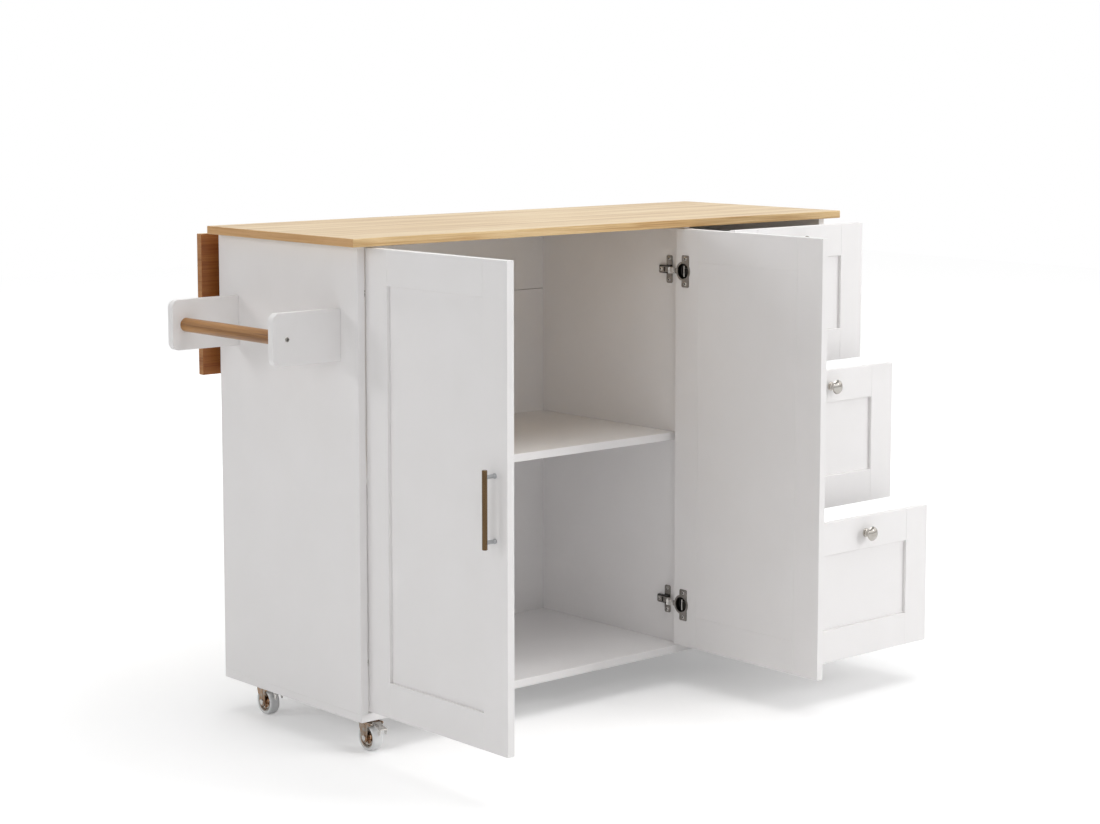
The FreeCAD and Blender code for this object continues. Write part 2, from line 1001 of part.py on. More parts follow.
wall_arms = []
leaf_arms = []
STRUT_PIVOT_Y = "pivot_out - strut_back"
STRUT_PIVOT_Z = "pivot_height - strut_drop"
for end, middle_x in BRACKETS:
    wall_arm = channel(
        "wall_arm_" + end,
        middle_x,
        "carcass_depth",
        "carcass_depth",
        "bracket_ear",
        "bracket_width",
        "pivot_height + bracket_top - bracket_length",
        "pivot_height + bracket_top",
    )
    for pin, pin_y, pin_z, pin_radius in (
        ("pivot", "pivot_out", "pivot_height", "bracket_pin_radius"),
        ("strut", STRUT_PIVOT_Y, STRUT_PIVOT_Z, "strut_pin_radius"),
    ):
        add_rod(
            wall_arm,
            "%s_%s_pin" % (wall_arm.Name, pin),
            (middle_x + " - bracket_width / 2", pin_y, pin_z),
            "x",
            pin_radius,
            "bracket_width",
        )
    wall_arms.append(wall_arm)

    leaf_arm = channel(
        "leaf_arm_" + end,
        middle_x,
        "leaf_face - bracket_metal",
        "leaf_face - leaf_arm_ear",
        "leaf_arm_ear",
        "leaf_arm_width",
        "pivot_height + bracket_top - leaf_arm_length",
        "pivot_height",
    )
    add_block(
        leaf_arm,
        leaf_arm.Name + "_tongue",
        (
            middle_x + " - leaf_arm_width / 2",
            "leaf_face - bracket_metal",
            "pivot_height",
        ),
        ("leaf_arm_width", "bracket_metal", "bracket_top"),
    )
    for side_name, ear_x in (
        ("low", middle_x + " - leaf_arm_width / 2"),
        ("high", middle_x + " + leaf_arm_width / 2 - bracket_metal"),
    ):
        add_rod(
            leaf_arm,
            "%s_eye_%s" % (leaf_arm.Name, side_name),
            (ear_x, "pivot_out", "pivot_height"),
            "x",
            "bracket_top",
            "bracket_metal",
        )
    add_rod(
        leaf_arm,
        leaf_arm.Name + "_pin_hole",
        (middle_x + " - leaf_arm_width / 2", "pivot_out", "pivot_height"),
        "x",
        "bracket_pin_radius + bracket_pin_play",
        "leaf_arm_width",
        cut=True,
    )
    leaf_arms.append(leaf_arm)

    # The strut lies almost straight down between the two arms, so its own frame
    # is turned to aim from its pivot at the middle of the leaf arm.
    strut = new_body(
        "leaf_strut_" + end,
        "datum_x + " + middle_x,
        "datum_y + " + STRUT_PIVOT_Y,
        "datum_z + " + STRUT_PIVOT_Z,
    )
    strut.Placement = FreeCAD.Placement(FreeCAD.Vector(), FreeCAD.Rotation(ALONG_X, 1))
    strut.setExpression(
        "Placement.Rotation.Angle", formula("asin(strut_back / strut_length)")
    )
    place(
        strut,
        "datum_x + " + middle_x,
        "datum_y + " + STRUT_PIVOT_Y,
        "datum_z + " + STRUT_PIVOT_Z,
    )
    add_block(
        strut,
        strut.Name + "_bar",
        ("-strut_width / 2", "-strut_thickness / 2", "-strut_length"),
        ("strut_width", "strut_thickness", "strut_length"),
    )
    for label, height in (("_top", "0"), ("_foot", "-strut_length")):
        add_rod(
            strut,
            strut.Name + label,
            ("-strut_width / 2", "0", height),
            "x",
            "strut_thickness / 2",
            "strut_width",
        )
    add_rod(
        strut,
        strut.Name + "_slider",
        ("-slider_length / 2", "0", "-strut_length"),
        "x",
        "strut_pin_radius",
        "slider_length",
    )
    add_rod(
        strut,
        strut.Name + "_hole",
        ("-strut_width / 2", "0", "0"),
        "x",
        "strut_pin_radius + bracket_pin_play",
        "strut_width",
        cut=True,
    )
    keep(strut)
group("leaf_wall_arms", wall_arms)
group("leaf_arms", leaf_arms)


# ---------------------------------------------------------------- casters
def caster_body(name, x, y):
    """A body whose origin is on the floor under a caster's kingpin."""
    body = new_body(name, "datum_x + " + x, "datum_y + " + y, "0")
    body.Placement = FreeCAD.Placement(FreeCAD.Vector(), FreeCAD.Rotation(UP, 1))
    body.setExpression("Placement.Rotation.Angle", formula("caster_turn"))
    place(body, "datum_x + " + x, "datum_y + " + y, "0")
    return body


def caster_plate(name, x, y):
    """The plate under the bottom panel, with its kingpin and four screw heads."""
    body = new_body(name, "datum_x + " + x, "datum_y + " + y, "0")
    half = "caster_plate / 2"
    add_block(
        body,
        name + "_plate",
        ("-" + half, "-" + half, "caster_height - caster_plate_thickness"),
        ("caster_plate", "caster_plate", "caster_plate_thickness"),
    )
    add_rod(
        body,
        name + "_kingpin",
        ("0", "0", "fork_bottom"),
        "z",
        "kingpin_radius",
        "caster_height - fork_bottom - caster_plate_thickness / 2",
    )
    for number, (across, along) in enumerate(((-1, -1), (-1, 1), (1, -1), (1, 1))):
        add_rod(
            body,
            "%s_screw_%d" % (name, number + 1),
            (
                "%d * caster_screw_spacing / 2" % across,
                "%d * caster_screw_spacing / 2" % along,
                "caster_height - caster_plate_thickness - caster_screw_head",
            ),
            "z",
            "caster_screw_radius",
            "caster_screw_head",
        )
    return body


def caster_fork(name, x, y):
    """The swivelling race, its top plate and the two legs that hold the axle."""
    fork = caster_body(name, x, y)
    add_rod(
        fork,
        name + "_race",
        ("0", "0", "fork_bottom"),
        "z",
        "race_radius",
        "caster_height - caster_plate_thickness - race_play - fork_bottom",
    )
    top_start = "pedal_pin_y + pedal_eye_room"
    leg_end = "pedal_pin_y - pedal_eye_room"
    add_block(
        fork,
        name + "_top",
        ("-fork_half_width", top_start, "fork_bottom"),
        ("2 * fork_half_width", "race_radius - (%s)" % top_start, "fork_metal"),
    )
    leg = [
        ("-fork_leg_back", "fork_top"),
        (leg_end, "fork_top"),
        (leg_end, "fork_top - fork_leg_front"),
        ("-caster_trail - fork_boss_radius", "fork_top - 2 * fork_leg_front"),
        ("-caster_trail - fork_boss_radius", "wheel_radius"),
        ("-caster_trail + fork_boss_radius", "wheel_radius"),
        ("-fork_leg_back", "fork_top - fork_leg_rear"),
    ]
    for side_name, start in (
        ("low", "-fork_half_width"),
        ("high", "fork_half_width - fork_metal"),
    ):
        add_outline(
            fork, "%s_leg_%s" % (name, side_name), "YZ_Plane", leg, "fork_metal", start
        )
        add_rod(
            fork,
            "%s_boss_%s" % (name, side_name),
            (start, "-caster_trail", "wheel_radius"),
            "x",
            "fork_boss_radius",
            "fork_metal",
        )
    add_rod(
        fork,
        name + "_kingpin_hole",
        ("0", "0", "fork_bottom"),
        "z",
        "kingpin_radius + axle_play",
        "caster_height",
        cut=True,
    )
    add_rod(
        fork,
        name + "_axle",
        ("-fork_half_width", "-caster_trail", "wheel_radius"),
        "x",
        "axle_radius",
        "2 * fork_half_width",
    )
    add_rod(
        fork,
        name + "_pedal_pin",
        ("-fork_half_width", "pedal_pin_y", "pedal_pin_height"),
        "x",
        "pedal_pin_radius",
        "2 * fork_half_width",
    )
    for side_name, start in (
        ("low", "-fork_half_width - axle_head"),
        ("high", "fork_half_width"),
    ):
        add_rod(
            fork,
            "%s_axle_head_%s" % (name, side_name),
            (start, "-caster_trail", "wheel_radius"),
            "x",
            "axle_head_radius",
            "axle_head",
        )
    return keep(fork)


def caster_wheel(name, x, y):
    """A round-shouldered wheel, dished each side round a boss bored for the axle."""
    wheel = caster_body(name, x, y)
    centre = ("-caster_trail", "wheel_radius")
    add_rod(
        wheel,
        name + "_tread",
        ("-wheel_width / 2",) + centre,
        "x",
        "wheel_radius",
        "wheel_width",
    )
    round_all(wheel, "wheel_round")
    for side_name, start in (
        ("low", "-wheel_width / 2"),
        ("high", "wheel_width / 2 - hub_dish"),
    ):
        add_rod(
            wheel,
            "%s_dish_%s" % (name, side_name),
            (start,) + centre,
            "x",
            "hub_radius",
            "hub_dish",
            cut=True,
        )
    add_rod(
        wheel,
        name + "_boss",
        ("-boss_width / 2",) + centre,
        "x",
        "boss_radius",
        "boss_width",
    )
    add_rod(
        wheel,
        name + "_bore",
        ("-boss_width / 2",) + centre,
        "x",
        "axle_radius + axle_play",
        "boss_width",
        cut=True,
    )
    return keep(wheel)


def caster_pedal(name, x, y):
    """The brake pedal: an eye on the fork's pin and a blade with two bent-down cheeks."""
    pedal = caster_body(name, x, y)
    eye = "pedal_pin_radius + pedal_thickness / 2"
    outer = "pedal_pin_y - pedal_reach"
    cheek_top = "pedal_pin_height - pedal_drop - pedal_thickness / 2"
    cheek_low = cheek_top + " - pedal_cheek_depth"
    add_outline(
        pedal,
        name + "_blade",
        "YZ_Plane",
        [
            ("pedal_pin_y", "pedal_pin_height + pedal_thickness / 2"),
            ("pedal_pin_y", "pedal_pin_height - pedal_thickness / 2"),
            (outer, "pedal_pin_height - pedal_drop - pedal_thickness"),
            (outer, "pedal_pin_height - pedal_drop"),
        ],
        "2 * pedal_half_width",
        "-pedal_half_width",
    )
    for edge, start in (
        ("low", "-pedal_half_width"),
        ("high", "pedal_half_width - pedal_thickness"),
    ):
        add_outline(
            pedal,
            name + "_cheek_" + edge,
            "YZ_Plane",
            [
                (outer, cheek_top),
                (
                    outer + " + pedal_cheek_length",
                    cheek_top + " + pedal_drop * pedal_cheek_length / pedal_reach",
                ),
                (outer + " + pedal_cheek_length - pedal_thickness", cheek_low),
                (outer + " + pedal_thickness", cheek_low),
            ],
            "pedal_thickness",
            start,
        )
    add_rod(
        pedal,
        name + "_eye",
        ("-pedal_half_width", "pedal_pin_y", "pedal_pin_height"),
        "x",
        eye,
        "2 * pedal_half_width",
    )
    add_rod(
        pedal,
        name + "_hole",
        ("-pedal_half_width", "pedal_pin_y", "pedal_pin_height"),
        "x",
        "pedal_pin_radius + axle_play",
        "2 * pedal_half_width",
        cut=True,
    )
    return keep(pedal)


caster_plates = []
CASTERS = [
    ("front_left", "caster_inset_x", "caster_inset_y"),
    ("front_right", "carcass_width - caster_inset_x", "caster_inset_y"),
    ("rear_left", "caster_inset_x", "carcass_depth - caster_inset_y"),
    (
        "rear_right",
        "carcass_width - caster_inset_x",
        "carcass_depth - caster_inset_y",
    ),
]
for corner, x, y in CASTERS:
    caster_plates.append(caster_plate("caster_plate_" + corner, x, y))
    caster_fork("caster_fork_" + corner, x, y)
    caster_wheel("caster_wheel_" + corner, x, y)
    caster_pedal("caster_pedal_" + corner, x, y)
group("caster_plates", caster_plates)


# ---------------------------------------------------------------- check and write
document.recompute()
for thing in document.Objects:
    if "Invalid" in thing.State or "Error" in thing.State:
        raise RuntimeError("%s did not build: %s" % (thing.Name, thing.State))
for part in sub_parts:
    if part.Shape.isNull() or not part.Shape.isValid():
        raise RuntimeError("%s has no valid shape" % part.Label)
os.makedirs("parts", exist_ok=True)
for part in sub_parts:
    part.Shape.exportStep("parts/%s.step" % part.Label)
    solids = len(part.Shape.Solids)
    print("%-28s %2d solids %12.1f mm3" % (part.Label, solids, part.Shape.Volume))
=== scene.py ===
# %% [markdown]
# # A rolling kitchen island
# This lesson dresses a cabinet on casters: white painted boards, an oak-look top
# with a leaf that hangs behind, two framed doors standing open, three drawers
# pulled out in steps, a side rail and small metal fittings. The boards come from
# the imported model, which stays where it is. The fittings are small but catch the
# eye, so most are built again here with real curves, screws and edges. The slides,
# the casters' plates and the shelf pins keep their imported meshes.

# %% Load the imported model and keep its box
import json
import math

import bmesh
import bpy
from mathutils import Matrix, Vector


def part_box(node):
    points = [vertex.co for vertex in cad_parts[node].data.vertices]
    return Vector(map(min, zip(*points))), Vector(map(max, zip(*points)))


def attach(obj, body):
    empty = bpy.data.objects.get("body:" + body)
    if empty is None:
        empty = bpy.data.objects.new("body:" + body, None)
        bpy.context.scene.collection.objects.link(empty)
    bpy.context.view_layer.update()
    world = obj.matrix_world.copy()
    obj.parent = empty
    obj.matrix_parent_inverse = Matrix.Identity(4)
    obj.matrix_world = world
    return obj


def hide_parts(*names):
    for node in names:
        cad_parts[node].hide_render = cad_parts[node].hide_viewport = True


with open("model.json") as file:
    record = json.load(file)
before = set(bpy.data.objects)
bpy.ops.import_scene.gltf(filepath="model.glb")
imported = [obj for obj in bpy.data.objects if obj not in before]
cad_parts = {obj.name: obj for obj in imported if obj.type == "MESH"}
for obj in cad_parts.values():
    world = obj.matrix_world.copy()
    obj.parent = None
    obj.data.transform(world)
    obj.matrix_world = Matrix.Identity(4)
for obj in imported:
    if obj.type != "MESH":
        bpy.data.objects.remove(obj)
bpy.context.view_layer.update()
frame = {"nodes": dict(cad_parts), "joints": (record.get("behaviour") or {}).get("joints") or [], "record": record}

# %% [markdown]
# ## Units, colours and shader nodes
# Scene units are metres, while hardware is measured in millimetres, so one helper
# converts. Colours are written as the sRGB hex values that a paint chart gives, and
# one function turns them into the linear values that a shader works with.


# %% Small helpers for units, colours and nodes
def mm(value):
    """Millimetres in metres."""
    return value / 1000


def linear(hex_colour):
    """A linear RGBA colour from an sRGB hex value."""
    channels = [int(hex_colour[i:i + 2], 16) / 255 for i in (1, 3, 5)]
    bent = [c / 12.92 if c <= 0.04045 else ((c + 0.055) / 1.055) ** 2.4 for c in channels]
    return (*bent, 1.0)


def add_node(tree, kind, settings=None, sockets=None):
    """Add a node, set its fields, and fill or link its input sockets."""
    made = tree.nodes.new(kind)
    for field, value in (settings or {}).items():
        setattr(made, field, value)
    for socket, value in (sockets or {}).items():
        if isinstance(value, bpy.types.NodeSocket):
            tree.links.new(value, made.inputs[socket])
        else:
            made.inputs[socket].default_value = value
    return made


def new_finish(name, sockets):
    """A material with one Principled shader whose plain sockets are set here."""
    finish = bpy.data.materials.new(name)
    finish.use_nodes = True
    tree = finish.node_tree
    tree.nodes.clear()
    shader = add_node(tree, "ShaderNodeBsdfPrincipled", sockets=sockets)
    add_node(tree, "ShaderNodeOutputMaterial", sockets={"Surface": shader.outputs[0]})
    return finish, tree, shader


# %% [markdown]
# ## White lacquered board
# The carcass, doors and drawers are fibreboard sprayed with a satin white lacquer.
# Sprayed lacquer dries almost flat, with a faint orange peel about 2 mm across and a
# gloss that varies a little, so the highlights on the big faces aren't quite even.
# An IOR of 1.5 is typical of lacquer.

# %% Satin white lacquer
PEEL_MM = 2.0
CLOUD_MM = 90.0


def lacquer_finish(name, first, second):
    """Sprayed lacquer that drifts between two sRGB colours."""
    finish, tree, shader = new_finish(name, {"IOR": 1.5, "Metallic": 0.0})
    place = add_node(tree, "ShaderNodeTexCoord")
    clouds = add_node(tree, "ShaderNodeTexNoise", sockets={
        "Vector": place.outputs["Object"], "Scale": 1 / mm(CLOUD_MM), "Detail": 3.0,
    })
    tint = add_node(tree, "ShaderNodeMix", {"data_type": "RGBA"}, {
        0: clouds.outputs[0], 6: linear(first), 7: linear(second),
    })
    sheen = add_node(tree, "ShaderNodeMapRange", sockets={
        0: clouds.outputs[0], 3: 0.36, 4: 0.46,
    })
    peel = add_node(tree, "ShaderNodeTexNoise", sockets={
        "Vector": place.outputs["Object"], "Scale": 1 / mm(PEEL_MM), "Detail": 1.0,
    })
    relief = add_node(tree, "ShaderNodeBump", sockets={
        "Strength": 0.06, "Distance": mm(0.05), "Height": peel.outputs[0],
    })
    tree.links.new(tint.outputs[2], shader.inputs["Base Color"])
    tree.links.new(sheen.outputs[0], shader.inputs["Roughness"])
    tree.links.new(relief.outputs[0], shader.inputs["Normal"])
    return finish


lacquer = lacquer_finish("satin_white_lacquer", "#EDEBEA", "#F2F0F0")
print("lacquer peel", PEEL_MM, "mm")

# %% [markdown]
# ## Oak, and the turned beech rail
# The top and leaf have an oak surface under a clear satin coat: wide soft bands,
# fine streaks a millimetre or two apart, and short dark pores, all running along the
# long side. Noise stretched along the grain gives each of them. On a board's short
# end the grain would show as dots, so there it is turned to run along that edge,
# as an edging strip is laid. Two tones multiply the colour of the end faces and of
# the faces toward -Y. On the leaf they are strong, painted shade that makes its ends and
# hanging inner face much darker than the top; elsewhere they are faint. The side rail
# is beech, redder, with finer grain.


# %% Wood with stretched grain
def wood_finish(name, tones, along, gloss, shade_and_end_tones, band_mm=34.0, streak_mm=2.2):
    """Wood with grain along "x" or "y". Tones run dark to pale; two tones darken end and -Y faces, painted shade
    on the leaf.
    """
    dark, mid, pale = [linear(tone) for tone in tones]
    finish, tree, shader = new_finish(name, {"IOR": 1.5, "Metallic": 0.0})
    place = add_node(tree, "ShaderNodeTexCoord")
    axes = add_node(tree, "ShaderNodeSeparateXYZ", sockets={0: place.outputs["Object"]})
    facing = add_node(tree, "ShaderNodeSeparateXYZ", sockets={0: place.outputs["Normal"]})
    steep = add_node(tree, "ShaderNodeMath", {"operation": "ABSOLUTE"}, {
        0: facing.outputs["X" if along == "x" else "Y"],
    })
    on_end = add_node(tree, "ShaderNodeMath", {"operation": "GREATER_THAN"}, {
        0: steep.outputs[0], 1: 0.7,
    })
    swapped = add_node(tree, "ShaderNodeCombineXYZ", sockets={
        0: axes.outputs[1], 1: axes.outputs[0], 2: axes.outputs[2],
    })
    first, second = (place.outputs["Object"], swapped.outputs[0])
    if along == "y":
        first, second = second, first
    lined = add_node(tree, "ShaderNodeMix", {"data_type": "VECTOR"}, {
        0: on_end.outputs[0], 4: first, 5: second,
    })

    def stretched(across_mm, long_ratio, detail, lift=0.0):
        across = 1 / mm(across_mm)
        spread = add_node(tree, "ShaderNodeMapping", sockets={
            "Vector": lined.outputs[1],
            "Location": (lift, lift, lift),
            "Scale": (across / long_ratio, across, across),
        })
        return add_node(tree, "ShaderNodeTexNoise", sockets={
            "Vector": spread.outputs[0], "Scale": 1.0, "Detail": detail,
            "Distortion": 0.4,
        }).outputs[0]

    bands = stretched(band_mm, 14.0, 3.0)
    streaks = stretched(streak_mm, 60.0, 3.0, 3.7)
    pores = stretched(0.8, 22.0, 1.0, 8.1)
    blend = add_node(tree, "ShaderNodeMix", {"data_type": "FLOAT"}, {
        0: 0.45, 2: bands, 3: streaks,
    })
    shades = add_node(tree, "ShaderNodeValToRGB", sockets={0: blend.outputs[0]})
    ramp = shades.color_ramp
    ramp.elements[0].position, ramp.elements[0].color = 0.36, dark
    ramp.elements[1].position, ramp.elements[1].color = 0.62, pale
    ramp.elements.new(0.5).color = mid
    pits = add_node(tree, "ShaderNodeMapRange", sockets={
        0: pores, 1: 0.62, 2: 0.72, 3: 0.0, 4: 0.35,
    })
    coloured = add_node(tree, "ShaderNodeMix", {"data_type": "RGBA"}, {
        0: pits.outputs[0], 6: shades.outputs[0], 7: dark,
    })
    below = add_node(tree, "ShaderNodeMath", {"operation": "LESS_THAN"}, {
        0: facing.outputs["Y"], 1: -0.7,
    })
    for where, darkening_tone in zip((on_end, below), shade_and_end_tones):
        coloured = add_node(tree, "ShaderNodeMix", {
            "data_type": "RGBA", "blend_type": "MULTIPLY",
        }, {0: where.outputs[0], 6: coloured.outputs[2], 7: linear(darkening_tone)})
    dull = add_node(tree, "ShaderNodeMapRange", sockets={
        0: blend.outputs[0], 3: gloss + 0.05, 4: gloss - 0.05,
    })
    relief = add_node(tree, "ShaderNodeBump", sockets={
        "Strength": 0.10, "Distance": mm(0.1), "Height": blend.outputs[0],
    })
    tree.links.new(coloured.outputs[2], shader.inputs["Base Color"])
    tree.links.new(dull.outputs[0], shader.inputs["Roughness"])
    tree.links.new(relief.outputs[0], shader.inputs["Normal"])
    return finish


OAK_TONES = ("#B48D5A", "#D8BC8E", "#E4CDA6")
oak = wood_finish("clear_coated_oak", OAK_TONES, "x", 0.36, ("#ECD1B5", "#FFFAF2"))
# On the leaf the end and -Y tones are strong: painted shade on its ends and hanging inner face.
leaf_wood_painted_shade = wood_finish("leaf_wood_painted_shade", OAK_TONES, "x", 0.40, ("#C89E7A", "#B67F4E"))
beech = wood_finish(
    "turned_beech", ("#80552A", "#A2723C", "#B48349"), "y", 0.36, ("#E8DCD0", "#E8DCD0"),
    20.0, 1.4,
)

# %% [markdown]
# ## Metals
# Knobs are zinc cast and plated with polished nickel, and hinge plates are pressed
# steel with a duller plating. Their screws, links and cranks and the hub lips take a
# lighter steel, partly brighter plating and partly painted highlight, and a near-black
# steel is painted shade in the hinge cups and a painted dark reflection on the arms'
# sides. Slides and handle posts are zinc plated, the casters' steel is warmer, a tint that
# paints the copper reflection of chrome, and the bar handles are brushed to a bronze tone.
# Brushing leaves fine lines along the work: noise stretched along one axis raises
# and lowers the roughness. A metal keeps its default IOR, and its colour is its
# reflection, so each starts from the plating's own tint.


# %% Plated and brushed metal
def metal_finish(name, first, second, rough, spread=0.06, line_mm=None, along=2):
    """A metal. With line_mm it is brushed along an axis: 0 is x, 1 is y, 2 is z."""
    finish, tree, shader = new_finish(name, {"Metallic": 1.0})
    place = add_node(tree, "ShaderNodeTexCoord")
    width = 1 / mm(line_mm or 12.0)
    scale = [width, width, width]
    if line_mm:
        scale[along] = width / 80
    lines = add_node(tree, "ShaderNodeMapping", sockets={
        "Vector": place.outputs["Object"], "Scale": scale,
    })
    grain = add_node(tree, "ShaderNodeTexNoise", sockets={
        "Vector": lines.outputs[0], "Scale": 1.0, "Detail": 3.0,
    })
    dull = add_node(tree, "ShaderNodeMapRange", sockets={
        0: grain.outputs[0], 1: 0.3, 2: 0.7, 3: rough - spread, 4: rough + spread,
    })
    share = add_node(tree, "ShaderNodeMapRange", sockets={0: grain.outputs[0], 1: 0.38, 2: 0.62})
    tint = add_node(tree, "ShaderNodeMix", {"data_type": "RGBA"}, {
        0: share.outputs[0], 6: linear(first), 7: linear(second),
    })
    relief = add_node(tree, "ShaderNodeBump", sockets={
        "Strength": 0.04, "Distance": mm(0.05), "Height": grain.outputs[0],
    })
    tree.links.new(tint.outputs[2], shader.inputs["Base Color"])
    tree.links.new(dull.outputs[0], shader.inputs["Roughness"])
    tree.links.new(relief.outputs[0], shader.inputs["Normal"])
    return finish


nickel = metal_finish("polished_nickel", "#BDB8B1", "#CAC6C0", 0.08, 0.03)
plated = metal_finish("plated_steel", "#98948F", "#ABA7A2", 0.22)
# A lighter steel: partly brighter plating, partly painted highlight on links, cranks, screw heads, nuts and hub
# lips.
plating_and_highlight_steel = metal_finish("lighter_plating_and_painted_highlight", "#DCD9D5", "#E6E4E1", 0.26)
slide_zinc = metal_finish("zinc_slides", "#B4B6B8", "#C3C5C7", 0.34, 0.07, 0.6, 1)
bronze = metal_finish("brushed_bronze", "#6A553E", "#7D6549", 0.22, 0.05, 0.5, 2)
# A near-black steel: painted shade inside the hinge cups and a painted dark reflection on the arms' sides.
shade_dark_steel = metal_finish("steel_painted_dark_shade", "#2C2A28", "#3A3835", 0.34)
# The casters' chromed steel: a warm tint, mixed at random with grey, that paints the copper reflection it shows.
warm_reflection_steel = metal_finish("steel_with_painted_reflection", "#AE8B6C", "#B3B0AA", 0.22)


# %% [markdown]
# ## Moulded tyre, and painted shade for recesses
# The tyres are a pale thermoplastic rubber, faintly mottled and semi-matt. The
# screws' recesses are only shadow at the photographed size, so a dark matt finish
# on each cross reads as depth.

# %% Soft tyre and recess
def plastic_finish(name, first, second, rough, mottle_mm):
    """A moulded plastic with a faint mottle between two sRGB colours."""
    finish, tree, shader = new_finish(name, {"IOR": 1.5, "Metallic": 0.0})
    place = add_node(tree, "ShaderNodeTexCoord")
    mottle = add_node(tree, "ShaderNodeTexNoise", sockets={
        "Vector": place.outputs["Object"], "Scale": 1 / mm(mottle_mm), "Detail": 4.0,
    })
    tint = add_node(tree, "ShaderNodeMix", {"data_type": "RGBA"}, {
        0: mottle.outputs[0], 6: linear(first), 7: linear(second),
    })
    dull = add_node(tree, "ShaderNodeMapRange", sockets={
        0: mottle.outputs[0], 3: rough - 0.06, 4: rough + 0.06,
    })
    relief = add_node(tree, "ShaderNodeBump", sockets={
        "Strength": 0.15, "Distance": mm(0.1), "Height": mottle.outputs[0],
    })
    tree.links.new(tint.outputs[2], shader.inputs["Base Color"])
    tree.links.new(dull.outputs[0], shader.inputs["Roughness"])
    tree.links.new(relief.outputs[0], shader.inputs["Normal"])
    return finish


tyre = plastic_finish("pale_tyre", "#DEDFE0", "#ECECEC", 0.5, 3.0)
recess = plastic_finish("dark_recess", "#22211F", "#2E2C2A", 0.6, 4.0)

# %% [markdown]
# ## Dress the boards
# The boards have the right shapes and eased edges already, so they keep their own
# meshes and only get a finish. A table from the record's material slots says which.

# %% Finish for each board and fitting that stays
SLOT_FINISH = {
    "white_board": lacquer, "oak_board": oak, "rod_wood": beech,
    "polished_nickel": nickel, "nickel_steel": plated, "bronze_bar": bronze,
    "zinc_steel": slide_zinc, "chromed_steel": warm_reflection_steel, "grey_tyre": tyre,
}
slot_of = {
    entry["node"]: entry["material_slot"] for entry in frame["record"]["subparts"]
}
for node_name, cad_piece in frame["nodes"].items():
    finish = SLOT_FINISH[slot_of[node_name]]
    # The leaf gets the oak with painted shade on its ends and inner face.
    if node_name == "drop_leaf":
        finish = leaf_wood_painted_shade
    cad_piece.data.materials.clear()
    cad_piece.data.materials.append(finish)
print("dressed", len(frame["nodes"]), "pieces")

# %% [markdown]
# ## Making small fittings
# Turned parts, such as knobs and screws, are a profile swept round an axis. Pressed
# parts are an outline given a thickness, then bevelled. Every fitting is built in its
# own small frame in millimetres and placed by a matrix, and parts that share a body
# and a finish are merged, so one object stands for a whole set.


# %% Turned, pressed and placed meshes
def turned(profile, steps=40):
    """A solid turned about +Z from (height, radius) pairs in millimetres."""
    shape = bmesh.new()
    rings = []
    for height, radius in profile:
        if radius < 0.001:
            rings.append([shape.verts.new((0, 0, mm(height)))])
            continue
        ring = []
        for step in range(steps):
            angle = math.tau * step / steps
            spot = (mm(radius) * math.cos(angle), mm(radius) * math.sin(angle), mm(height))
            ring.append(shape.verts.new(spot))
        rings.append(ring)
    for low, high in zip(rings, rings[1:]):
        for step in range(steps):
            after = (step + 1) % steps
            around = [low[step % len(low)], low[after % len(low)],
                      high[after % len(high)], high[step % len(high)]]
            corners = list(dict.fromkeys(around))
            if len(corners) > 2:
                shape.faces.new(corners)
    for ring in (rings[0], rings[-1]):
        if len(ring) > 2:
            shape.faces.new(ring)
    return shape


def pressed(outline, thickness, ease=0.4, holes=()):
    """An outline in the XY plane, in millimetres, given a thickness along +Z."""
    shape = bmesh.new()
    rims = []
    for loop in (outline, *holes):
        spots = [shape.verts.new((mm(x), mm(y), 0)) for x, y in loop]
        rims += [shape.edges.new(ends) for ends in zip(spots, spots[1:] + spots[:1])]
    bmesh.ops.triangle_fill(shape, edges=rims, use_beauty=True)
    grown = bmesh.ops.extrude_face_region(shape, geom=shape.faces[:])
    top = [item for item in grown["geom"] if isinstance(item, bmesh.types.BMVert)]
    bmesh.ops.translate(shape, verts=top, vec=(0, 0, mm(thickness)))
    bmesh.ops.recalc_face_normals(shape, faces=shape.faces)
    if ease:
        rim = [edge for edge in shape.edges if edge.calc_face_angle(0) > 0.6]
        bmesh.ops.bevel(shape, geom=rim, offset=mm(ease), segments=2, affect="EDGES")
    return shape


def rounded_bar(half_long, half_wide, corner, steps=5):
    """The outline of a flat bar with rounded corners, in millimetres."""
    points = []
    for turn, (sx, sy) in enumerate(((1, 1), (-1, 1), (-1, -1), (1, -1))):
        for step in range(steps + 1):
            angle = math.pi / 2 * (turn + step / steps)
            points.append((
                sx * (half_long - corner) + corner * math.cos(angle),
                sy * (half_wide - corner) + corner * math.sin(angle),
            ))
    return points


def join_parts(parts):
    """One bmesh from several (bmesh, matrix) pairs."""
    whole = bmesh.new()
    for shape, matrix in parts:
        copy = bpy.data.meshes.new("part")
        shape.to_mesh(copy)
        copy.transform(matrix)
        if matrix.determinant() < 0:
            copy.flip_normals()
        whole.from_mesh(copy)
        bpy.data.meshes.remove(copy)
    return whole


def add_piece(name, parts, finish, body, stands_for=()):
    """Merge placed parts into one smooth object that rides on a body."""
    whole = join_parts(parts)
    bmesh.ops.recalc_face_normals(whole, faces=whole.faces)
    mesh = bpy.data.meshes.new(name)
    whole.to_mesh(mesh)
    mesh.polygons.foreach_set("use_smooth", [True] * len(mesh.polygons))
    mesh.set_sharp_from_angle(angle=math.radians(32))
    mesh.materials.append(finish)
    piece = bpy.data.objects.new(name, mesh)
    bpy.context.scene.collection.objects.link(piece)
    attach(piece, body)
    if stands_for:
        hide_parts(*stands_for)
    return piece


def at(x, y, z):
    """A move, with its lengths in millimetres."""
    return Matrix.Translation((mm(x), mm(y), mm(z)))


def centre(node_name):
    """The middle of a node's box, in millimetres."""
    low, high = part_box(node_name)
    return (low + high) * 500


